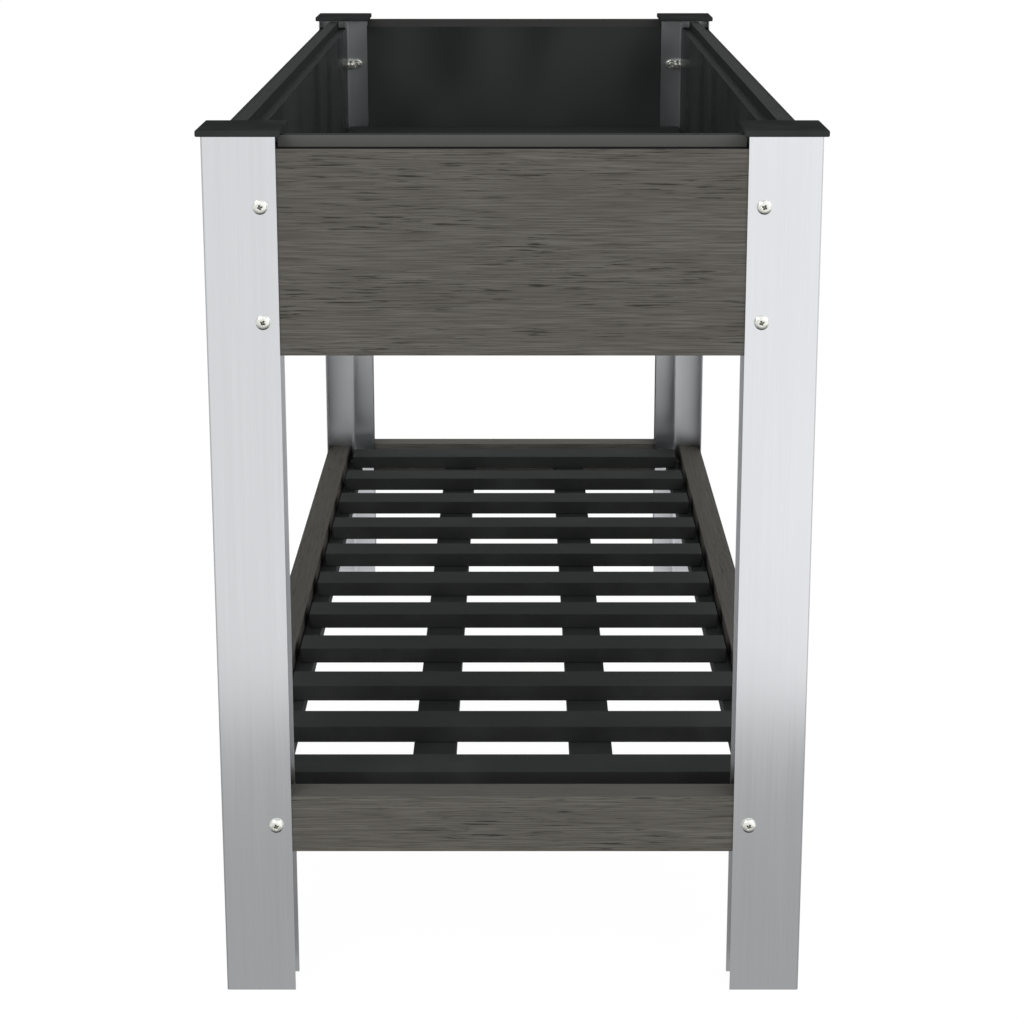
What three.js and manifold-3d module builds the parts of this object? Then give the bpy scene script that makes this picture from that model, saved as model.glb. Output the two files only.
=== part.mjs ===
// Raised garden planter on four legs: aluminium corner posts, wood-plastic boards slid into the
// posts' slots, a black lined bed on top and a slatted shelf near the ground.
// Millimetres, +Z up, standing on z = 0. The long way is Y and the front end faces -Y.

import * as THREE from 'three';
import { mergeVertices } from 'three/addons/utils/BufferGeometryUtils.js';
import Module from 'manifold-3d';

const wasm = await Module();
wasm.setup();

// ---- driving dimensions ----

const LENGTH = 1200; // over the faces of the posts, along Y
const WIDTH = 500; // over the faces of the posts, along X
const GAP = 0.3; // air between two pieces that touch

// corner post: a square tube with two pairs of flanges that form the board slots
const CAP_UNDERSIDE = 749.5;
const POST_HEIGHT = CAP_UNDERSIDE - GAP;
const POST_REACH = 60; // flange reach from the outer corner
const POST_WALL = 2.5;
const POST_FLANGE = 1; // thickness of the two outer flanges
const POST_TUBE = 36; // outside of the corner tube, and the inner flange's inside face
const POST_CORNER_RADIUS = 2;

// cap: a flat lid with a spigot in the corner tube
const CAP_THICKNESS = 5.5;
const CAP_OVERHANG = 3.8;
const CAP_CHAMFER = 0.8;
const SPIGOT_DEPTH = 12;
const SPIGOT_PLAY = 0.4;

// boards, measured inwards from the posts' outer face
const BOARD_OUTSIDE = POST_FLANGE + GAP;
const BED_INSIDE = 33;
const RAIL_INSIDE = 28.5;
const BED_BOTTOM = 569.5;
const BED_LEDGE = 739.5;
const TONGUE_TOP = 749;
const TONGUE_OUTSIDE = 14.1;
const TONGUE_INSIDE = 25.6;
const TONGUE_SETBACK = 0.5; // the tongue stops this far from the posts' flanges
const GROOVE_DEPTH = 9;
const GROOVE_PLAY = 0.5;
const RAIL_BOTTOM = 130.5;
const RAIL_TOP = 181.5;

// bolts
const BOLT_FROM_CORNER = 46.8;
const BOLT_LEVELS = { top: 692.5, middle: 597.5, bottom: 155.2 };
const BOLT_RADIUS = 3;
const BOLT_TIP = 42.5; // reach inwards from the posts' outer face
const BOLT_HOLE_RADIUS = 3.5;
const HEAD_RADIUS = 6;
const HEAD_RIM = 2.2; // height of the head's straight rim
const HEAD_HEIGHT = 4;
const CROWN_RADIUS = 3.6; // where the head's flat top turns down
const CROWN_DROP = 0.3;
const BOLT_SIDES = 12;

// lining sheets and floor of the bed
const LINING_OUTSIDE = 33.8;
const LINING_THICKNESS = 2;
const LINING_BOTTOM = 602;
const LINING_TOP = 740.5;
const LEDGE_REACH = 58;
const FLOOR_UNDERSIDE = LINING_BOTTOM + LINING_THICKNESS + GAP;
const FLOOR_TOP = 612;
const FLOOR_MARGIN = POST_TUBE + 2 * GAP;
const RIB_COUNT = 5;
const RIB_DEPTH = 20;
const RIB_THICKNESS = 4;
const RIB_HALF_LENGTH = 188;

// shelf: cross slats on four lengthwise bars
const SLAT_COUNT = 11;
const SLAT_PITCH = 105;
const SLAT_WIDTH = 40;
const SLAT_TOP = 181.5;
const SLAT_UNDERSIDE = 166;
const SLAT_HALF_LENGTH = 215.8;
const END_SLAT_HALF_LENGTH = WIDTH / 2 - POST_TUBE - 2 * GAP;
const BAR_TOP = SLAT_UNDERSIDE - GAP;
const BAR_BOTTOM = 150;
const INNER_BAR_CENTRE = 71.8;
const INNER_BAR_WIDTH = 39.1;
const OUTER_BAR_INSIDE = 203;

// ---- materials ----

function finish(colour, roughness, metalness) {
  return new THREE.MeshStandardMaterial({ color: colour, roughness, metalness });
}

const ALUMINIUM = { colour: 0xc9cacc, roughness: 0.38, metalness: 1 };
const COMPOSITE = { colour: 0x5a5751, roughness: 0.75, metalness: 0 };
const BLACK_PLASTIC = { colour: 0x252626, roughness: 0.45, metalness: 0 };
const LINING_PLASTIC = { colour: 0x1e1e1f, roughness: 0.25, metalness: 0 };
const CHROME = { colour: 0xe6e6e8, roughness: 0.15, metalness: 1 };

function piece(name, geometry, look) {
  const mesh = new THREE.Mesh(geometry, finish(look.colour, look.roughness, look.metalness));
  mesh.name = name;
  return mesh;
}

// ---- solids ----

function toSolid(geometry) {
  const bare = geometry.clone();
  bare.deleteAttribute('normal');
  bare.deleteAttribute('uv');
  const merged = mergeVertices(bare);
  const mesh = new wasm.Mesh({
    numProp: 3,
    vertProperties: new Float32Array(merged.attributes.position.array),
    triVerts: new Uint32Array(merged.index.array),
  });
  return new wasm.Manifold(mesh);
}

function toGeometry(solid) {
  const mesh = solid.getMesh();
  const indexed = new THREE.BufferGeometry();
  indexed.setAttribute('position', new THREE.BufferAttribute(mesh.vertProperties, 3));
  indexed.setIndex(new THREE.BufferAttribute(mesh.triVerts, 1));
  const flat = indexed.toNonIndexed();
  flat.computeVertexNormals();
  return flat;
}

function joined(geometries) {
  return toGeometry(geometries.map(toSolid).reduce((sum, solid) => sum.add(solid)));
}

function cut(geometry, tools) {
  return toGeometry(tools.map(toSolid).reduce((rest, tool) => rest.subtract(tool), toSolid(geometry)));
}

// A box from its two opposite corners.
function block(low, high) {
  const size = high.map((value, axis) => value - low[axis]);
  const centre = high.map((value, axis) => (value + low[axis]) / 2);
  return new THREE.BoxGeometry(...size).translate(...centre);
}

// A drill through a wall that faces -Y, at x and z.
function drillAlongY(x, z) {
  const drill = new THREE.CylinderGeometry(BOLT_HOLE_RADIUS, BOLT_HOLE_RADIUS, 2 * POST_REACH, BOLT_SIDES);
  return drill.translate(x, 0, z);
}

function drillAlongX(y, z) {
  return drillAlongY(0, z).rotateZ(Math.PI / 2).translate(0, y, 0);
}

// A section drawn as depth from the outer face against height, run lengthwise along X.
function run(section, length) {
  const strip = new THREE.ExtrudeGeometry(section, { depth: length, bevelEnabled: false });
  const turn = new THREE.Matrix4().makeBasis(
    new THREE.Vector3(0, 1, 0),
    new THREE.Vector3(0, 0, 1),
    new THREE.Vector3(1, 0, 0),
  );
  return strip.translate(0, 0, -length / 2).applyMatrix4(turn);
}

function outline(points) {
  return new THREE.Shape(points.map(([across, up]) => new THREE.Vector2(across, up)));
}

// ---- corner post and cap, with the outer corner at the origin and the flanges along +X and +Y ----

function postSection() {
  const section = new THREE.Shape();
  const slotInside = POST_TUBE - POST_WALL;
  const r = POST_CORNER_RADIUS;
  section.moveTo(r, 0);
  section.lineTo(POST_REACH, 0);
  section.lineTo(POST_REACH, POST_FLANGE);
  section.lineTo(POST_TUBE, POST_FLANGE);
  section.lineTo(POST_TUBE, slotInside);
  section.lineTo(POST_REACH, slotInside);
  section.lineTo(POST_REACH, POST_TUBE);
  section.lineTo(POST_TUBE, POST_TUBE);
  section.lineTo(POST_TUBE, POST_REACH);
  section.lineTo(slotInside, POST_REACH);
  section.lineTo(slotInside, POST_TUBE);
  section.lineTo(POST_FLANGE, POST_TUBE);
  section.lineTo(POST_FLANGE, POST_REACH);
  section.lineTo(0, POST_REACH);
  section.lineTo(0, r);
  section.absarc(r, r, r, Math.PI, 1.5 * Math.PI, false);
  const bore = new THREE.Path();
  bore.moveTo(POST_WALL, POST_WALL);
  bore.lineTo(POST_WALL, slotInside);
  bore.lineTo(slotInside, slotInside);
  bore.lineTo(slotInside, POST_WALL);
  bore.closePath();
  section.holes.push(bore);
  return section;
}

function postGeometry() {
  const options = { depth: POST_HEIGHT, bevelEnabled: false, curveSegments: 4 };
  const extrusion = new THREE.ExtrudeGeometry(postSection(), options);
  const drills = Object.values(BOLT_LEVELS).flatMap((z) => [
    drillAlongY(BOLT_FROM_CORNER, z),
    drillAlongX(BOLT_FROM_CORNER, z),
  ]);
  return cut(extrusion, drills);
}

function capGeometry() {
  const span = POST_REACH + 2 * CAP_OVERHANG - 2 * CAP_CHAMFER;
  const start = CAP_CHAMFER - CAP_OVERHANG;
  const top = CAP_UNDERSIDE + CAP_THICKNESS;
  const plan = outline([
    [start, start],
    [start + span, start],
    [start + span, start + span],
    [start, start + span],
  ]);
  const lid = new THREE.ExtrudeGeometry(plan, {
    depth: CAP_THICKNESS - 2 * CAP_CHAMFER,
    bevelThickness: CAP_CHAMFER,
    bevelSize: CAP_CHAMFER,
    bevelSegments: 1,
  });
  lid.translate(0, 0, top - CAP_THICKNESS + CAP_CHAMFER);
  const near = POST_WALL + SPIGOT_PLAY;
  const far = POST_TUBE - POST_WALL - SPIGOT_PLAY;
  const spigot = block([near, near, CAP_UNDERSIDE - SPIGOT_DEPTH], [far, far, top - CAP_THICKNESS / 2]);
  return joined([lid, spigot]);
}

function corner(name, xSign, ySign, turn) {
  const group = new THREE.Group();
  group.position.set((xSign * WIDTH) / 2, (ySign * LENGTH) / 2, 0);
  group.rotation.z = turn;
  group.add(piece(`${name}_post`, postGeometry(), ALUMINIUM));
  group.add(piece(`${name}_post_cap`, capGeometry(), BLACK_PLASTIC));
  return group;
}

// ---- one wall of the planter: bed board, shelf rail, lining sheet and six bolts ----

function bedBoardSection() {
  return outline([
    [BOARD_OUTSIDE, BED_BOTTOM],
    [TONGUE_OUTSIDE - GROOVE_PLAY, BED_BOTTOM],
    [TONGUE_OUTSIDE - GROOVE_PLAY, BED_BOTTOM + GROOVE_DEPTH],
    [TONGUE_INSIDE + GROOVE_PLAY, BED_BOTTOM + GROOVE_DEPTH],
    [TONGUE_INSIDE + GROOVE_PLAY, BED_BOTTOM],
    [BED_INSIDE, BED_BOTTOM],
    [BED_INSIDE, BED_LEDGE],
    [TONGUE_INSIDE, BED_LEDGE],
    [TONGUE_INSIDE, TONGUE_TOP],
    [TONGUE_OUTSIDE, TONGUE_TOP],
    [TONGUE_OUTSIDE, BED_LEDGE],
    [BOARD_OUTSIDE, BED_LEDGE],
  ]);
}

// Removes the tongue at both ends of the board, where the posts are.
function tongueEnds(span) {
  const tongueEnd = span / 2 - POST_REACH - TONGUE_SETBACK;
  return [
    block([-span / 2, 0, BED_LEDGE], [-tongueEnd, POST_TUBE, CAP_UNDERSIDE]),
    block([tongueEnd, 0, BED_LEDGE], [span / 2, POST_TUBE, CAP_UNDERSIDE]),
  ];
}

function railSection() {
  return outline([
    [BOARD_OUTSIDE, RAIL_BOTTOM],
    [RAIL_INSIDE, RAIL_BOTTOM],
    [RAIL_INSIDE, RAIL_TOP],
    [BOARD_OUTSIDE, RAIL_TOP],
  ]);
}

// A sheet on the inside of the bed board, turned in at the foot to carry the floor.
function liningSection(ledgeReach) {
  const inside = LINING_OUTSIDE + LINING_THICKNESS;
  return outline([
    [LINING_OUTSIDE, LINING_BOTTOM],
    [ledgeReach, LINING_BOTTOM],
    [ledgeReach, LINING_BOTTOM + LINING_THICKNESS],
    [inside, LINING_BOTTOM + LINING_THICKNESS],
    [inside, LINING_TOP],
    [LINING_OUTSIDE, LINING_TOP],
  ]);
}

// A pan-head bolt along +Y whose head stands in front of the post's face.
function boltGeometry() {
  const profile = [
    [0, -HEAD_HEIGHT],
    [CROWN_RADIUS, -HEAD_HEIGHT + CROWN_DROP],
    [HEAD_RADIUS, -HEAD_RIM],
    [HEAD_RADIUS, -GAP],
    [BOLT_RADIUS, -GAP],
    [BOLT_RADIUS, BOLT_TIP],
    [0, BOLT_TIP],
  ];
  const points = profile.map(([radius, along]) => new THREE.Vector2(radius, along));
  return new THREE.LatheGeometry(points, BOLT_SIDES);
}

function wall(name, span, distance, turn) {
  const group = new THREE.Group();
  group.rotation.z = turn;
  group.position.set(distance * Math.sin(turn), -distance * Math.cos(turn), 0);

  const boltReach = span / 2 - BOLT_FROM_CORNER;
  const drillRow = (level) => [
    drillAlongY(-boltReach, BOLT_LEVELS[level]),
    drillAlongY(boltReach, BOLT_LEVELS[level]),
  ];
  const boardLength = span - 2 * (POST_TUBE + GAP);
  const bedBoard = cut(run(bedBoardSection(), boardLength), [
    ...drillRow('top'),
    ...drillRow('middle'),
    ...tongueEnds(span),
  ]);
  const rail = cut(run(railSection(), boardLength), drillRow('bottom'));
  group.add(piece(`${name}_bed_board`, bedBoard, COMPOSITE));
  group.add(piece(`${name}_shelf_rail`, rail, COMPOSITE));

  const liningLength = span - 2 * (POST_REACH + GAP);
  group.add(piece(`${name}_lining`, run(liningSection(LEDGE_REACH), liningLength), LINING_PLASTIC));

  for (const [level, height] of Object.entries(BOLT_LEVELS)) {
    for (const [end, sign] of [['left', -1], ['right', 1]]) {
      const bolt = piece(`${name}_bolt_${end}_${level}`, boltGeometry(), CHROME);
      bolt.position.set(sign * boltReach, 0, height);
      group.add(bolt);
    }
  }
  return group;
}

// ---- bed floor ----

function floorGeometry() {
  const x = WIDTH / 2 - FLOOR_MARGIN;
  const y = LENGTH / 2 - FLOOR_MARGIN;
  const plate = block([-x, -y, FLOOR_UNDERSIDE], [x, y, FLOOR_TOP]);
  const ribPitch = (2 * y) / (RIB_COUNT + 1);
  const ribTop = (FLOOR_UNDERSIDE + FLOOR_TOP) / 2;
  const ribs = [];
  for (let i = 0; i < RIB_COUNT; i += 1) {
    const centre = (i - (RIB_COUNT - 1) / 2) * ribPitch;
    ribs.push(block(
      [-RIB_HALF_LENGTH, centre - RIB_THICKNESS / 2, FLOOR_UNDERSIDE - RIB_DEPTH],
      [RIB_HALF_LENGTH, centre + RIB_THICKNESS / 2, ribTop],
    ));
  }
  return joined([plate, ...ribs]);
}

// ---- shelf ----

function shelf() {
  const group = new THREE.Group();
  for (let i = 0; i < SLAT_COUNT; i += 1) {
    const isEnd = i === 0 || i === SLAT_COUNT - 1;
    const half = isEnd ? END_SLAT_HALF_LENGTH : SLAT_HALF_LENGTH;
    const slat = block([-half, -SLAT_WIDTH / 2, SLAT_UNDERSIDE], [half, SLAT_WIDTH / 2, SLAT_TOP]);
    const mesh = piece(`shelf_slat_${i + 1}`, slat, BLACK_PLASTIC);
    mesh.position.y = (i - (SLAT_COUNT - 1) / 2) * SLAT_PITCH;
    group.add(mesh);
  }
  const innerEnd = LENGTH / 2 - RAIL_INSIDE - GAP;
  const outerEnd = LENGTH / 2 - POST_REACH - GAP;
  const outerBarOutside = WIDTH / 2 - RAIL_INSIDE - GAP;
  for (const [side, sign] of [['left', -1], ['right', 1]]) {
    const inner = block(
      [-INNER_BAR_WIDTH / 2, -innerEnd, BAR_BOTTOM],
      [INNER_BAR_WIDTH / 2, innerEnd, BAR_TOP],
    );
    const innerMesh = piece(`shelf_bar_${side}_inner`, inner, BLACK_PLASTIC);
    innerMesh.position.x = sign * INNER_BAR_CENTRE;
    group.add(innerMesh);

    const halfWidth = (outerBarOutside - OUTER_BAR_INSIDE) / 2;
    const outer = block([-halfWidth, -outerEnd, BAR_BOTTOM], [halfWidth, outerEnd, BAR_TOP]);
    const outerMesh = piece(`shelf_bar_${side}_outer`, outer, BLACK_PLASTIC);
    outerMesh.position.x = (sign * (outerBarOutside + OUTER_BAR_INSIDE)) / 2;
    group.add(outerMesh);
  }
  return group;
}

// ---- assembly ----

const QUARTER_TURN = Math.PI / 2;
const planter = new THREE.Group();
planter.add(corner('front_left', -1, -1, 0));
planter.add(corner('front_right', 1, -1, QUARTER_TURN));
planter.add(corner('back_right', 1, 1, 2 * QUARTER_TURN));
planter.add(corner('back_left', -1, 1, 3 * QUARTER_TURN));
planter.add(wall('front', WIDTH, LENGTH / 2, 0));
planter.add(wall('right', LENGTH, WIDTH / 2, QUARTER_TURN));
planter.add(wall('back', WIDTH, LENGTH / 2, 2 * QUARTER_TURN));
planter.add(wall('left', LENGTH, WIDTH / 2, 3 * QUARTER_TURN));
planter.add(piece('bed_floor', floorGeometry(), LINING_PLASTIC));
planter.add(shelf());

export default planter;
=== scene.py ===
"""Raised garden planter: materials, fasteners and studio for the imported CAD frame."""

import math

import bmesh
import bpy
from mathutils import Matrix, Vector


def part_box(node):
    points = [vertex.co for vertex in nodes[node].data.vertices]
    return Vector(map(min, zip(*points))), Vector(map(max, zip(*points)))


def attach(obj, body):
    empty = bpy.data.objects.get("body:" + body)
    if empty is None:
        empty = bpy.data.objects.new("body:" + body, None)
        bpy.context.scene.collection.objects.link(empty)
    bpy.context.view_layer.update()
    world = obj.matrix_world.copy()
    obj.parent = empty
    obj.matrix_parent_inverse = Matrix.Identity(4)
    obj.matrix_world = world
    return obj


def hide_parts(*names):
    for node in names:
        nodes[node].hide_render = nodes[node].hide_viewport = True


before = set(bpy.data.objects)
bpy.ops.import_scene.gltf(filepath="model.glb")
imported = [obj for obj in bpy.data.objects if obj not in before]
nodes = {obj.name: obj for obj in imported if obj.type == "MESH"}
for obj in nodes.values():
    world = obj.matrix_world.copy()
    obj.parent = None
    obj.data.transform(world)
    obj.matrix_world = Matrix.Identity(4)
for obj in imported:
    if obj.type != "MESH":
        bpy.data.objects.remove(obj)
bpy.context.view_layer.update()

MM = 0.001
NOISE_ROUGHNESS = 0.55


# ---------------------------------------------------------------- shader helpers

def add_node(tree, kind, inputs=None, **settings):
    """A new node with those settings; an input is a value or the output that feeds it."""
    node = tree.nodes.new(kind)
    for key, value in settings.items():
        setattr(node, key, value)
    for socket, value in (inputs or {}).items():
        if isinstance(value, bpy.types.NodeSocket):
            tree.links.new(value, node.inputs[socket])
        else:
            node.inputs[socket].default_value = value
    return node


class Shader:
    """A material's node tree with one Principled BSDF and short calls to add and join nodes."""

    def __init__(self, name, **constants):
        self.material = bpy.data.materials.new(name)
        self.material.use_nodes = True
        self.tree = self.material.node_tree
        self.surface = self.tree.nodes["Principled BSDF"]
        for socket, value in constants.items():
            self.surface.inputs[socket.replace("_", " ")].default_value = value

    def add(self, kind, inputs=None, **settings):
        return add_node(self.tree, kind, inputs, **settings)

    def join(self, output, socket):
        self.tree.links.new(output, self.surface.inputs[socket])

    def place(self, scale=(1, 1, 1), vector=None):
        """The object's own coordinates in metres, or that vector, multiplied by scale on each axis."""
        if vector is None:
            vector = self.add("ShaderNodeTexCoord").outputs["Object"]
        return self.add("ShaderNodeMapping", {"Vector": vector, "Scale": scale}).outputs["Vector"]

    def noise(self, vector, detail=4.0, distortion=0.0):
        node = self.add("ShaderNodeTexNoise", {
            "Vector": vector, "Scale": 1.0, "Detail": detail,
            "Roughness": NOISE_ROUGHNESS, "Distortion": distortion,
        })
        return node.outputs["Fac"]

    def spread(self, value, low, high, to_low=0.0, to_high=1.0, smooth=True):
        node = self.add("ShaderNodeMapRange", {
            "Value": value, "From Min": low, "From Max": high,
            "To Min": to_low, "To Max": to_high,
        }, interpolation_type="SMOOTHSTEP" if smooth else "LINEAR")
        return node.outputs["Result"]

    def math(self, operation, first, second=0.0):
        node = self.add("ShaderNodeMath", {0: first, 1: second}, operation=operation)
        return node.outputs["Value"]

    def blend(self, factor, first, second):
        """The first colour where factor is 0 and the second where it is 1."""
        node = self.add("ShaderNodeMix", {0: factor, 6: first, 7: second}, data_type="RGBA")
        return node.outputs[2]

    def bump(self, height, depth):
        """Relief of that depth in metres where height runs from 0 to 1."""
        inputs = {"Height": height, "Strength": 1.0, "Distance": depth}
        return self.add("ShaderNodeBump", inputs).outputs["Normal"]

    def split(self, vector):
        return self.add("ShaderNodeSeparateXYZ", {"Vector": vector}).outputs

    def depth(self, place):
        """How far a point is outside the posts' outer faces, on X and on Y, and the larger of the two."""
        beyond = [
            self.math("SUBTRACT", self.math("ABSOLUTE", place["X"]), POST_FACE_X),
            self.math("SUBTRACT", self.math("ABSOLUTE", place["Y"]), POST_FACE_Y),
        ]
        return beyond, self.math("MAXIMUM", *beyond)

    def facing(self):
        """The surface's normal in the object's coordinates, which are the world's here."""
        return self.split(self.add("ShaderNodeNewGeometry").outputs["Normal"])


def srgb(red, green, blue):
    """A display colour from 0 to 255 as linear light."""
    def linear(value):
        value /= 255
        return value / 12.92 if value <= 0.04045 else ((value + 0.055) / 1.055) ** 2.4
    return (linear(red), linear(green), linear(blue), 1.0)


# ---------------------------------------------------------------- materials
# A pair of colours is the darker and the lighter one. Noise scales are repeats per metre.

POST_FACE_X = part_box("front_right_post")[1].x
POST_FACE_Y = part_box("back_right_post")[1].y

BRUSHED = srgb(232, 233, 235), srgb(236, 237, 239)
# inner faces: a rougher mill finish whose darker colour is painted shade
MILL_FINISH_AND_PAINTED_SHADE = srgb(214, 215, 217), srgb(225, 226, 228)
# painted shade: a dark line along the rounded outer corner of each post
PAINTED_CORNER_SHADE = srgb(140, 141, 143)
HAIRLINES = (900, 900, 7)
BRUSH_BANDS = (130, 130, 2.2)
METAL_CLOUDS = (9, 9, 5)
SKIN = 0.3 * MM
CORNER_LINE = 1.5 * MM
CORNER_SHADE_SHARE = 0.8
HAIRLINE_SHARE = 0.45
BRUSHED_ROUGHNESS = 0.155, 0.18
SMUDGE_ROUGHNESS = -0.01, 0.02
MILL_ROUGHNESS = 0.22


def brushed_aluminium():
    """Clear anodised extrusion: brushed along Z on its outer faces, dull mill finish inside whose darker
    colour is painted shade, and a painted shade line along each post's rounded outer corner.
    """
    shader = Shader("brushed_aluminium", Metallic=1.0, Anisotropic=0.92)
    hairlines = shader.noise(shader.place(HAIRLINES), detail=3)
    bands = shader.noise(shader.place(BRUSH_BANDS), detail=4)
    clouds = shader.noise(shader.place(METAL_CLOUDS), detail=3)
    tone = shader.math(
        "ADD",
        shader.math("MULTIPLY", hairlines, HAIRLINE_SHARE),
        shader.math("MULTIPLY", bands, 1 - HAIRLINE_SHARE),
    )
    brushed = shader.blend(shader.spread(tone, 0.35, 0.65), *BRUSHED)
    # painted shade: the inner faces take the darker mill colour
    mill_and_painted_shade = shader.blend(shader.spread(clouds, 0.35, 0.7), *MILL_FINISH_AND_PAINTED_SHADE)

    beyond, depth = shader.depth(shader.split(shader.place()))
    outside = shader.math("GREATER_THAN", depth, -SKIN)
    # painted shade along the posts' outer corners, where both outer faces are near
    near_corner = shader.math("MINIMUM", *beyond)
    corner = shader.spread(near_corner, -CORNER_LINE, -0.5 * CORNER_LINE, 0.0, CORNER_SHADE_SHARE)
    skin = shader.blend(corner, brushed, PAINTED_CORNER_SHADE)
    shader.join(shader.blend(outside, mill_and_painted_shade, skin), "Base Color")

    streaked = shader.spread(tone, 0.3, 0.7, *BRUSHED_ROUGHNESS)
    smudged = shader.spread(clouds, 0.35, 0.7, *SMUDGE_ROUGHNESS)
    dulled = shader.math("MULTIPLY", shader.math("SUBTRACT", 1.0, outside), MILL_ROUGHNESS)
    shader.join(shader.math("ADD", shader.math("ADD", streaked, smudged), dulled), "Roughness")
    across = shader.add("ShaderNodeTangent", direction_type="RADIAL", axis="Z")
    shader.join(across.outputs["Tangent"], "Tangent")
    return shader.material


COMPOSITE = srgb(79, 76, 71), srgb(101, 98, 92)
COMPOSITE_BAND = srgb(83, 80, 75)
PORE = srgb(50, 48, 44)
# painted light: the tongue's outward sides, lighter than the core
CORE_OUTWARD_PAINTED_LIGHT = srgb(91, 91, 89)
# painted shade: the outer ledge beside the tongue
PAINTED_SHADE_OUTER_LEDGE = srgb(22, 22, 22)
CORE_TOP = srgb(29, 30, 30)
# painted shade: the core's sides towards the bed, paler on the end boards (X) than on the side boards (Y)
CORE_INWARD_PAINTED_SHADE = {"X": srgb(63, 63, 62), "Y": srgb(36, 37, 36)}
# planed tops of the shelf rails; the side rails' (Y) darker top is painted shade
RAIL_TOP_WITH_PAINTED_SHADE = {"X": srgb(92, 90, 85), "Y": srgb(73, 71, 66)}
OUTER_LEDGE = 13.5 * MM
RIM_DEPTH = 9.7 * MM
RIM_FADE = 0.2 * MM
GRAIN_SWAY = 2.2 * MM
STREAK_DISTORTION = 0.4
BAND_SHARE = 0.45
PORES_OUTSIDE_CLUSTERS = 0.25
COMB_RELIEF = 0.35
EMBOSSING = 0.16 * MM
COMPOSITE_ROUGHNESS = 0.74, 0.58

# repeats per metre along the grain and across it
SWAY = (3, 7)
FINE_GRAIN = (19, 880)
STREAKS = (30, 700)
CLUSTERS = (5, 42)
GRAIN_BANDS = (4, 70)


def composite(name, grain_axis, top, inward_painted_shade=None, rim_from=None):
    """Embossed wood-plastic composite whose grain runs along X or Y, with a planed top of that colour; on
    the shelf's side rails that colour is darkened with painted shade.

    Above rim_from, where a board has its tongue and ledges, the skin ends and the dark core shows.
    On the core, colour by facing is painted light and shade: outward sides lighter, sides towards the bed
    darker in the given inward colour, and the outer ledge darker than the top.
    """
    def stretched(along, across):
        scale = [across] * 3
        scale["XY".index(grain_axis)] = along
        return tuple(scale)

    shader = Shader(name, Specular_IOR_Level=0.04 if rim_from is not None else 0.12)
    sway = shader.noise(shader.place(stretched(*SWAY)), detail=2)
    lift = shader.add("ShaderNodeCombineXYZ", {"Z": shader.math("MULTIPLY", sway, GRAIN_SWAY)})
    bent = shader.add("ShaderNodeVectorMath", {
        0: shader.place(), 1: lift.outputs["Vector"],
    }, operation="ADD").outputs["Vector"]

    def grain(size, detail, distortion=0.0):
        return shader.noise(shader.place(stretched(*size), bent), detail, distortion)

    fine = grain(FINE_GRAIN, 4)
    streaks = grain(STREAKS, 6, STREAK_DISTORTION)
    clusters = grain(CLUSTERS, 2)
    bands = grain(GRAIN_BANDS, 3)
    clustered = shader.spread(clusters, 0.4, 0.62, PORES_OUTSIDE_CLUSTERS, 1.0)
    pores = shader.math("MULTIPLY", shader.spread(streaks, 0.53, 0.68), clustered)
    combed = shader.spread(fine, 0.32, 0.68)
    base = shader.blend(combed, *COMPOSITE)
    banded = shader.blend(shader.spread(bands, 0.34, 0.68, 0.0, BAND_SHARE), base, COMPOSITE_BAND)
    face = shader.blend(pores, banded, PORE)

    facing = shader.facing()
    milled = shader.spread(facing["Z"], 0.6, 0.8)
    if rim_from is None:
        # upward faces lean towards the planed top colour, partly painted shade on the side rails
        colour = shader.blend(shader.math("MULTIPLY", milled, 0.6), face, top)
        plain = shader.math("MULTIPLY", milled, 0.7)
    else:
        place = shader.split(shader.place())
        rim = shader.spread(place["Z"], rim_from - RIM_FADE, rim_from + RIM_FADE)
        # painted light and shade: the core's sides are lighter where they face outward and darker where they
        # face the bed
        away_x = shader.math("MULTIPLY", place["X"], facing["X"])
        away_y = shader.math("MULTIPLY", place["Y"], facing["Y"])
        outward = shader.spread(shader.math("ADD", away_x, away_y), -0.05, 0.05)
        side = shader.blend(outward, inward_painted_shade, CORE_OUTWARD_PAINTED_LIGHT)
        # painted shade: the outer ledge is darker than the top
        shaded_outer_ledge = shader.math("GREATER_THAN", shader.depth(place)[1], -OUTER_LEDGE)
        core = shader.blend(milled, side, shader.blend(shaded_outer_ledge, top, PAINTED_SHADE_OUTER_LEDGE))
        colour = shader.blend(rim, face, core)
        plain = shader.math("MULTIPLY", rim, 0.9)
    shader.join(colour, "Base Color")

    relief = shader.math("SUBTRACT", shader.math("MULTIPLY", combed, COMB_RELIEF), pores)
    shader.join(shader.spread(relief, -1, 0.4, *COMPOSITE_ROUGHNESS, smooth=False), "Roughness")
    embossed = shader.math("MULTIPLY", relief, shader.math("SUBTRACT", 1.0, plain))
    shader.join(shader.bump(embossed, EMBOSSING), "Normal")
    return shader.material


# painted light on the slats' tops, painted shade on their sides
SLAT_TOP_PAINTED_LIGHT = srgb(49, 51, 50)
SLAT_SIDE_PAINTED_SHADE = srgb(41, 42, 41)
# painted shade on the caps' tops, painted light on their sides
CAP_TOP_PAINTED_SHADE = srgb(38, 39, 39)
CAP_SIDE_PAINTED_LIGHT = srgb(47, 48, 48)
WORN_PLASTIC = srgb(96, 98, 97)
WEAR_SHARE = 0.12
MOULD_TEXTURE = (2600, 2600, 2600)
MOULD_DEPTH = 0.05 * MM
MOULDED_ROUGHNESS = 0.5, 0.62
WEAR = (16, 16, 16)


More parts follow.
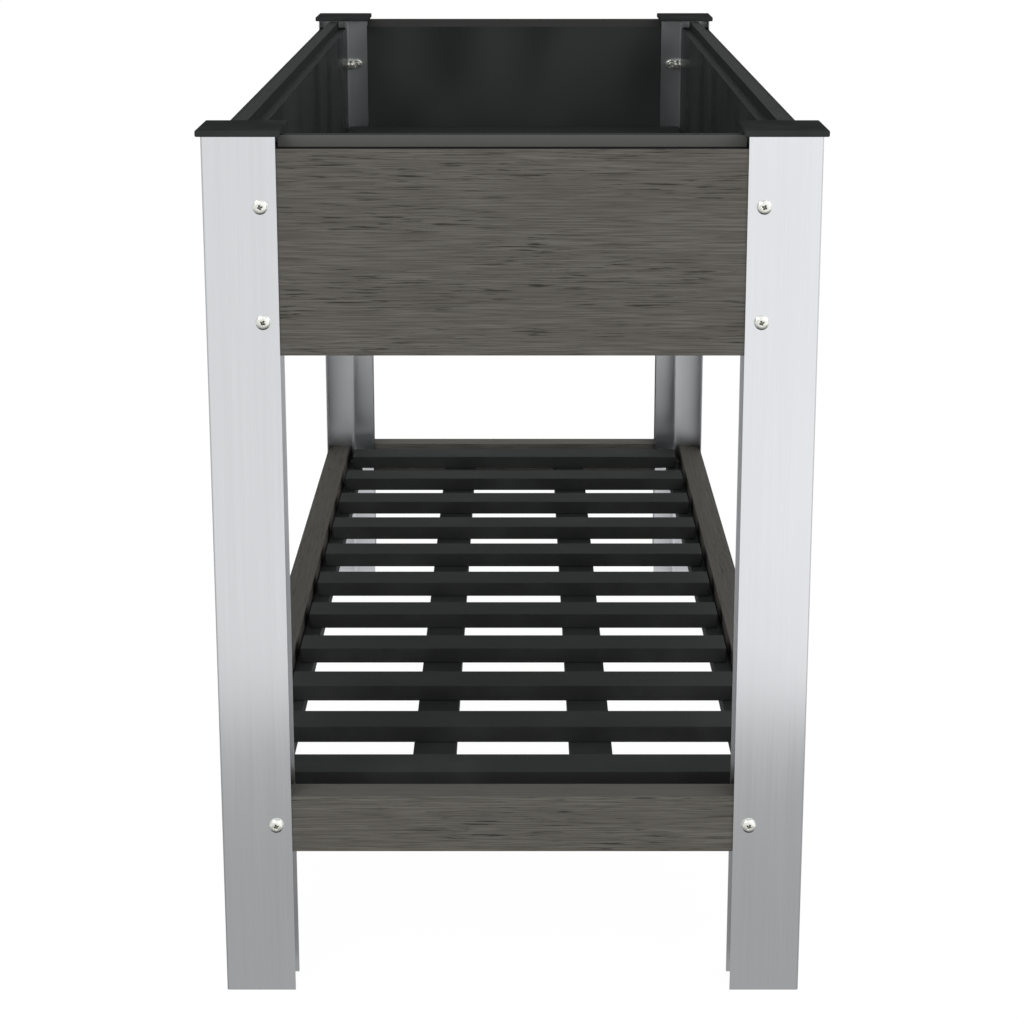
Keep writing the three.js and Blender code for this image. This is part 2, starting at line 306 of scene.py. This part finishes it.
def moulded_black(name, top, side, **constants):
    """Black plastic with the fine leathery texture of a spark-eroded mould; its tops and sides get different
    colours, painted light and shade.
    """
    shader = Shader(name, **constants)
    texture = shader.noise(shader.place(MOULD_TEXTURE), detail=2)
    wear = shader.noise(shader.place(WEAR), detail=5)
    # painted light and shade: upward faces take the top colour, the rest the side colour
    upward = shader.spread(shader.facing()["Z"], 0.3, 0.8)
    plain = shader.blend(upward, side, top)
    worn = shader.math("MULTIPLY", shader.spread(wear, 0.35, 0.75), WEAR_SHARE)
    shader.join(shader.blend(worn, plain, WORN_PLASTIC), "Base Color")
    shader.join(shader.spread(wear, 0.3, 0.7, *MOULDED_ROUGHNESS), "Roughness")
    shader.join(shader.bump(texture, MOULD_DEPTH), "Normal")
    return shader.material


# painted sheen: the lighter colour of the lining's soft clouds
LINING_PAINTED_SHEEN = srgb(42, 43, 43), srgb(57, 58, 58)
CUT_EDGE = srgb(42, 43, 43)
LINING_CLOUDS = (9, 9, 5)
LINING_ROUGHNESS = 0.27, 0.32


def lining_sheet():
    """Black calendered sheet: glossy, with soft clouds of painted sheen in its colour, its roughness varying
    with the same clouds, and a dull cut edge.
    """
    shader = Shader("lining_sheet", Specular_IOR_Level=0.1)
    clouds = shader.noise(shader.place(LINING_CLOUDS), detail=1)
    cut_edge = shader.spread(shader.facing()["Z"], 0.6, 0.9)
    # painted sheen: the clouds lighten the sheet's colour
    sheet = shader.blend(shader.spread(clouds, 0.3, 0.7), *LINING_PAINTED_SHEEN)
    shader.join(shader.blend(cut_edge, sheet, CUT_EDGE), "Base Color")
    gloss = shader.spread(clouds, 0.3, 0.7, *LINING_ROUGHNESS)
    shader.join(shader.math("MAXIMUM", gloss, cut_edge), "Roughness")
    return shader.material


BRIGHT_ZINC = srgb(244, 244, 236), srgb(254, 254, 246)
# painted shade deep in the bolts' cross recesses
PAINTED_SHADE_ZINC = srgb(124, 123, 117), srgb(146, 145, 139)
ZINC_CLOUDS = (420, 420, 420)
ZINC_ROUGHNESS = 0.2, 0.32
ZINC_GRAIN_DEPTH = 0.02 * MM


def zinc_plate(name, dark, light):
    """Zinc on the fasteners, a little clouded between the two colours; with the darker pair it is painted
    shade in the bolts' cross recesses.
    """
    shader = Shader(name, Metallic=1.0)
    clouds = shader.noise(shader.place(ZINC_CLOUDS), detail=4)
    shader.join(shader.blend(shader.spread(clouds, 0.35, 0.7), dark, light), "Base Color")
    shader.join(shader.spread(clouds, 0.3, 0.75, *ZINC_ROUGHNESS), "Roughness")
    shader.join(shader.bump(clouds, ZINC_GRAIN_DEPTH), "Normal")
    return shader.material


ALUMINIUM = brushed_aluminium()
RIM_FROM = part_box("front_bed_board")[1].z - RIM_DEPTH
BED_BOARD = {
    axis: composite(f"bed_board_along_{axis.lower()}", axis, CORE_TOP, CORE_INWARD_PAINTED_SHADE[axis], RIM_FROM)
    for axis in "XY"
}
SHELF_RAIL = {
    axis: composite(f"shelf_rail_along_{axis.lower()}", axis, RAIL_TOP_WITH_PAINTED_SHADE[axis])
    for axis in "XY"
}
SHELF_BLACK = moulded_black("shelf_plastic", SLAT_TOP_PAINTED_LIGHT, SLAT_SIDE_PAINTED_SHADE, Specular_IOR_Level=0.03)
CAP_BLACK = moulded_black("cap_plastic", CAP_TOP_PAINTED_SHADE, CAP_SIDE_PAINTED_LIGHT, Specular_IOR_Level=0.0)
LINING_BLACK = lining_sheet()
ZINC = zinc_plate("zinc_plate", *BRIGHT_ZINC)
PAINTED_RECESS_SHADE = zinc_plate("recess_painted_shade", *PAINTED_SHADE_ZINC)


# ---------------------------------------------------------------- CAD nodes that stay

WELD_DISTANCE = 0.005 * MM
SHARP_ANGLE = math.radians(35)
POST_EDGE = 0.35 * MM
CAP_EDGE = 0.5 * MM
BOARD_EDGE = 0.4 * MM
LINING_EDGE = 0.1 * MM
BED_FLOOR_EDGE = 0.8 * MM
SHELF_EDGE = 0.7 * MM


def dress(name, material, edge_radius, segments=2):
    """Gives a CAD node its material and softens its edges, without touching its mesh."""
    node = nodes[name]
    node.data.materials.clear()
    node.data.materials.append(material)
    weld = node.modifiers.new("weld", "WELD")
    weld.merge_threshold = WELD_DISTANCE
    bevel = node.modifiers.new("edges", "BEVEL")
    bevel.width = edge_radius
    bevel.segments = segments
    bevel.limit_method = "ANGLE"
    bevel.angle_limit = SHARP_ANGLE


for name in nodes:
    if name.endswith("_post"):
        dress(name, ALUMINIUM, POST_EDGE)
    elif name.endswith("_post_cap"):
        dress(name, CAP_BLACK, CAP_EDGE, 3)
    elif name.endswith(("_bed_board", "_shelf_rail")):
        boards = BED_BOARD if name.endswith("_bed_board") else SHELF_RAIL
        dress(name, boards["X" if name.startswith(("front", "back")) else "Y"], BOARD_EDGE)
    elif name.endswith("_lining"):
        dress(name, LINING_BLACK, LINING_EDGE, 1)
    elif name == "bed_floor":
        dress(name, LINING_BLACK, BED_FLOOR_EDGE)
    elif name.startswith("shelf_"):
        dress(name, SHELF_BLACK, SHELF_EDGE, 3)


# ---------------------------------------------------------------- fasteners

HEAD_RADIUS = 6.0 * MM
HEAD_HEIGHT = 4.0 * MM
HEAD_SEAT = 0.3 * MM
HEAD_RIM = 0.42 * HEAD_HEIGHT
HEAD_CHAMFER = 0.2 * MM
CROWN_RINGS = 26
RECESS_REACH = 2.6 * MM
RECESS_HALF_WIDTH = 0.62 * MM
RECESS_DEPTH = 1.7 * MM
RECESS_SHADE = 1.0 * MM
SHANK_RADIUS = 3.0 * MM
THREAD_DEPTH = 0.35 * MM
THREAD_PITCH = 1.0 * MM
THREAD_TURNS = 6
SHANK_TIP = 42.5 * MM
INNER_FACE = 36.0 * MM
WASHER_RADIUS = 6.0 * MM
WASHER_THICKNESS = 1.2 * MM
WASHER_CHAMFER = 0.15 * MM
NUT_FLAT = 5.0 * MM
NUT_THICKNESS = 4.4 * MM
NUT_CHAMFER = 0.7 * MM
NUT_SEAT_CHAMFER = 0.4 * MM
BORE_CHAMFER = 0.5 * MM
NUT_PLAY = 0.05 * MM
SPLIT_ANGLE = math.radians(38)
SPIN_STEP = 47
AROUND = 72
OUTWARD = {
    "front": Vector((0, -1, 0)), "back": Vector((0, 1, 0)),
    "left": Vector((-1, 0, 0)), "right": Vector((1, 0, 0)),
}


def bridge(mesh, ring, following):
    count = len(ring)
    for i in range(count):
        mesh.faces.new((ring[i], ring[(i + 1) % count], following[(i + 1) % count], following[i]))


def circle_ring(mesh, radius, height):
    turn = 2 * math.pi / AROUND
    return [
        mesh.verts.new((radius * math.cos(i * turn), radius * math.sin(i * turn), height(i * turn)))
        for i in range(AROUND)
    ]


def dome(radius):
    """Height of a pan head at that distance from its axis."""
    share = min(radius / HEAD_RADIUS, 1.0)
    return HEAD_RIM + (HEAD_HEIGHT - HEAD_RIM) * (1 - share ** 4) ** 0.5


def smooth_step(value):
    value = max(0.0, min(1.0, value))
    return value * value * (3 - 2 * value)


def recess(radius, angle):
    """Depth of the cross recess at a point of the head."""
    x, y = abs(radius * math.cos(angle)), abs(radius * math.sin(angle))
    reach, side = max(x, y), min(x, y)
    in_arm = smooth_step((RECESS_HALF_WIDTH * 1.35 - side) / (RECESS_HALF_WIDTH * 0.7))
    in_reach = smooth_step((RECESS_REACH - reach) / (RECESS_REACH * 0.55))
    return RECESS_DEPTH * in_arm * in_reach


def finished(mesh, name, *materials):
    bmesh.ops.recalc_face_normals(mesh, faces=mesh.faces)
    data = bpy.data.meshes.new(name)
    mesh.to_mesh(data)
    mesh.free()
    for material in materials:
        data.materials.append(material)
    data.shade_smooth()
    return data


def bolt_mesh():
    """Pan head with a cross recess at +Z, and a shank with a threaded end down to the tip."""
    mesh = bmesh.new()
    rings = []
    for k in range(1, CROWN_RINGS + 1):
        radius = HEAD_RADIUS * math.sin(0.5 * math.pi * k / CROWN_RINGS)
        rings.append(circle_ring(mesh, radius, lambda a, r=radius: dome(r) - recess(r, a)))
    centre = mesh.verts.new((0, 0, HEAD_HEIGHT - RECESS_DEPTH))
    for i in range(AROUND):
        mesh.faces.new((centre, rings[0][i], rings[0][(i + 1) % AROUND]))
    profile = [
        (HEAD_RADIUS, HEAD_SEAT + HEAD_CHAMFER),
        (HEAD_RADIUS - HEAD_CHAMFER, HEAD_SEAT),
        (SHANK_RADIUS, HEAD_SEAT),
    ]
    thread_start = -SHANK_TIP + THREAD_PITCH * (THREAD_TURNS + 0.5)
    profile.append((SHANK_RADIUS, thread_start))
    for turn in range(THREAD_TURNS):
        crest = thread_start - THREAD_PITCH * turn
        profile.append((SHANK_RADIUS - THREAD_DEPTH, crest - 0.4 * THREAD_PITCH))
        profile.append((SHANK_RADIUS, crest - 0.9 * THREAD_PITCH))
    profile.append((SHANK_RADIUS - THREAD_DEPTH, -SHANK_TIP))
    for radius, height in profile:
        rings.append(circle_ring(mesh, radius, lambda a, h=height: h))
    for ring, following in zip(rings, rings[1:]):
        bridge(mesh, ring, following)
    mesh.faces.new(list(reversed(rings[-1])))
    # faces deep in the cross recess get the second material: painted shade
    for face in mesh.faces:
        middle = face.calc_center_median()
        depth = recess(middle.xy.length, math.atan2(middle.y, middle.x))
        if middle.z > HEAD_SEAT and depth > RECESS_SHADE:
            face.material_index = 1
    return finished(mesh, "pan_head_bolt", ZINC, PAINTED_RECESS_SHADE)


def nut_mesh():
    """A washer and a hexagon nut with turned corners, below the inner face, around an open thread."""
    mesh = bmesh.new()
    turn = 2 * math.pi / AROUND
    bore = SHANK_RADIUS + NUT_PLAY
    seat = -INNER_FACE - NUT_PLAY
    step = seat - WASHER_THICKNESS
    end = step - NUT_THICKNESS

    def hexagon_ring(limit, height):
        ring = []
        for i in range(AROUND):
            angle = i * turn
            sector = (angle + math.pi / 6) % (math.pi / 3) - math.pi / 6
            radius = min(NUT_FLAT / math.cos(sector), limit)
            ring.append(mesh.verts.new((radius * math.cos(angle), radius * math.sin(angle), height)))
        return ring

    corner = NUT_FLAT / math.cos(math.pi / 6)
    rings = [
        circle_ring(mesh, bore, lambda a: seat),
        circle_ring(mesh, WASHER_RADIUS - WASHER_CHAMFER, lambda a: seat),
        circle_ring(mesh, WASHER_RADIUS, lambda a: seat - WASHER_CHAMFER),
        circle_ring(mesh, WASHER_RADIUS, lambda a: step + WASHER_CHAMFER),
        circle_ring(mesh, WASHER_RADIUS - WASHER_CHAMFER, lambda a: step),
        hexagon_ring(NUT_FLAT * 1.02, step),
        hexagon_ring(corner, step - NUT_SEAT_CHAMFER),
        hexagon_ring(corner, end + NUT_CHAMFER),
        hexagon_ring(NUT_FLAT * 0.98, end),
        circle_ring(mesh, bore + BORE_CHAMFER, lambda a: end),
        circle_ring(mesh, bore, lambda a: end + BORE_CHAMFER),
    ]
    for ring, following in zip(rings, rings[1:] + rings[:1]):
        bridge(mesh, ring, following)
    return finished(mesh, "flange_nut", ZINC)


def add_piece(name, data, place):
    piece = bpy.data.objects.new(name, data)
    bpy.context.scene.collection.objects.link(piece)
    piece.matrix_world = place
    edges = piece.modifiers.new("sharp edges", "EDGE_SPLIT")
    edges.split_angle = SPLIT_ANGLE
    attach(piece, "root")
    return piece


def bolt_place(name, spin):
    """Where a CAD bolt stands: +Z out of the wall, the origin on the post's outer face."""
    low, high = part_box(name)
    middle = (low + high) / 2
    outward = OUTWARD[name.split("_")[0]]
    reach = (SHANK_TIP + HEAD_HEIGHT) / 2
    origin = middle + outward * (reach - HEAD_HEIGHT)
    facing = outward.to_track_quat("Z", "Y").to_matrix().to_4x4()
    return Matrix.Translation(origin) @ facing @ Matrix.Rotation(spin, 4, "Z")


BOLT = bolt_mesh()
NUT = nut_mesh()
bolt_names = sorted(name for name in nodes if "_bolt_" in name)
for index, name in enumerate(bolt_names):
    spin = math.radians((index * SPIN_STEP) % 90)
    bolt = add_piece(name + "_machined", BOLT, bolt_place(name, spin))
    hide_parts(name)
    add_piece(name.replace("_bolt_", "_nut_"), NUT, bolt_place(name, 0.0))


# ---------------------------------------------------------------- studio

FLOOR_RADIUS = 30
FLOOR_DROP = 0.2 * MM
FLOOR_PAPER = (0.8, 0.8, 0.8, 1)
FLOOR_GLOW = 1.03
FLOOR_GLOW_SHARE = 0.95

ROOM_TINT = (0.98, 0.99, 1.0, 1)
ROOM_LEVEL_LEFT = 0.77
ROOM_LEVEL_RIGHT = 1.02
SIDES_FADE = 0.2
GROUND_LEVEL = 0.415
GROUND_EDGE = math.sin(math.radians(-21.6))
GROUND_FADE = 0.013
NADIR_LEVEL = 0.05
NADIR_EDGES = (-0.87, -0.6)
BACK_SHARE = 0.82

# name: location, width, height, watts
SOFT_BOXES = {
    "key": ((-1.9, -3.2, 2.9), 2.0, 1.6, 40),
    "fill": ((2.6, -2.6, 2.2), 2.0, 1.6, 25),
    "top": ((0.3, 0.6, 3.4), 2.4, 2.4, 12),
}
AIM = (0, 0, 0.5)


def floor():
    """A wide round pale sheet just under the feet, clear when seen from below."""
    mesh = bmesh.new()
    bmesh.ops.create_circle(mesh, cap_ends=True, segments=96, radius=FLOOR_RADIUS)
    data = bpy.data.meshes.new("studio_floor")
    mesh.to_mesh(data)
    mesh.free()
    sheet = bpy.data.objects.new("studio_floor", data)
    bpy.context.scene.collection.objects.link(sheet)
    sheet.location.z = -FLOOR_DROP
    sheet.visible_glossy = False
    material = bpy.data.materials.new("studio_floor")
    material.use_nodes = True
    tree = material.node_tree
    tree.nodes.clear()
    paper = add_node(tree, "ShaderNodeBsdfDiffuse", {"Color": FLOOR_PAPER}).outputs[0]
    glow = add_node(tree, "ShaderNodeEmission", {"Strength": FLOOR_GLOW}).outputs[0]
    clear = add_node(tree, "ShaderNodeBsdfTransparent").outputs[0]
    seen = add_node(tree, "ShaderNodeLightPath").outputs["Is Camera Ray"]
    below = add_node(tree, "ShaderNodeNewGeometry").outputs["Backfacing"]
    share = add_node(tree, "ShaderNodeMath", {0: seen, 1: FLOOR_GLOW_SHARE}, operation="MULTIPLY").outputs[0]
    lit = add_node(tree, "ShaderNodeMixShader", {0: share, 1: paper, 2: glow}).outputs[0]
    one_sided = add_node(tree, "ShaderNodeMixShader", {0: below, 1: lit, 2: clear}).outputs[0]
    add_node(tree, "ShaderNodeOutputMaterial", {"Surface": one_sided})
    data.materials.append(material)


def surroundings():
    """White to the camera; for light and reflections, a bright room over a grey ground."""
    world = bpy.data.worlds.new("studio")
    bpy.context.scene.world = world
    world.use_nodes = True
    tree = world.node_tree
    tree.nodes.clear()

    def spread(value, low, high, to_low, to_high):
        node = add_node(tree, "ShaderNodeMapRange", {
            "Value": value, "From Min": low, "From Max": high,
            "To Min": to_low, "To Max": to_high,
        }, interpolation_type="SMOOTHSTEP")
        return node.outputs["Result"]

    direction = add_node(tree, "ShaderNodeTexCoord").outputs["Generated"]
    parts = add_node(tree, "ShaderNodeSeparateXYZ", {"Vector": direction}).outputs
    sideways = spread(parts["X"], -SIDES_FADE, SIDES_FADE, ROOM_LEVEL_LEFT, ROOM_LEVEL_RIGHT)
    ground = spread(parts["Z"], *NADIR_EDGES, NADIR_LEVEL, GROUND_LEVEL)
    height = spread(parts["Z"], GROUND_EDGE - GROUND_FADE, GROUND_EDGE + GROUND_FADE, ground, sideways)
    facing = spread(parts["Y"], -1.0, 1.0, 1.0, BACK_SHARE)
    level = add_node(tree, "ShaderNodeMath", {0: height, 1: facing}, operation="MULTIPLY").outputs[0]
    room = add_node(tree, "ShaderNodeBackground", {"Color": ROOM_TINT, "Strength": level}).outputs[0]
    white = add_node(tree, "ShaderNodeBackground", {"Color": (1, 1, 1, 1), "Strength": 1.0}).outputs[0]
    seen = add_node(tree, "ShaderNodeLightPath").outputs["Is Camera Ray"]
    mixed = add_node(tree, "ShaderNodeMixShader", {0: seen, 1: room, 2: white}).outputs[0]
    add_node(tree, "ShaderNodeOutputWorld", {"Surface": mixed})


def soft_box(name, location, width, height, watts):
    lamp = bpy.data.lights.new(name, "AREA")
    lamp.shape = "RECTANGLE"
    lamp.size, lamp.size_y = width, height
    lamp.energy = watts
    lamp_object = bpy.data.objects.new(name, lamp)
    bpy.context.scene.collection.objects.link(lamp_object)
    lamp_object.location = location
    aim = Vector(AIM) - Vector(location)
    lamp_object.rotation_euler = aim.to_track_quat("-Z", "Y").to_euler()


floor()
surroundings()
for name, settings in SOFT_BOXES.items():
    soft_box(name, *settings)


# ---------------------------------------------------------------- camera
# The picture's upright verticals call for a shifted lens. A tilt takes the place of most of that shift.

EYE = (0.0042, -2.445, 0.989)
TILT_DOWN = math.radians(13.63)
SENSOR_WIDTH = 36
FOCAL_LENGTH = 81.27
SHIFT = (-0.0053, -0.12)


def camera():
    lens = bpy.data.cameras.new("camera")
    lens.sensor_width = SENSOR_WIDTH
    lens.lens = FOCAL_LENGTH
    lens.shift_x, lens.shift_y = SHIFT
    eye = bpy.data.objects.new("camera", lens)
    bpy.context.scene.collection.objects.link(eye)
    eye.location = EYE
    eye.rotation_euler = (math.pi / 2 - TILT_DOWN, 0, 0)
    bpy.context.scene.camera = eye


camera()
bpy.context.scene.view_settings.view_transform = "Standard"
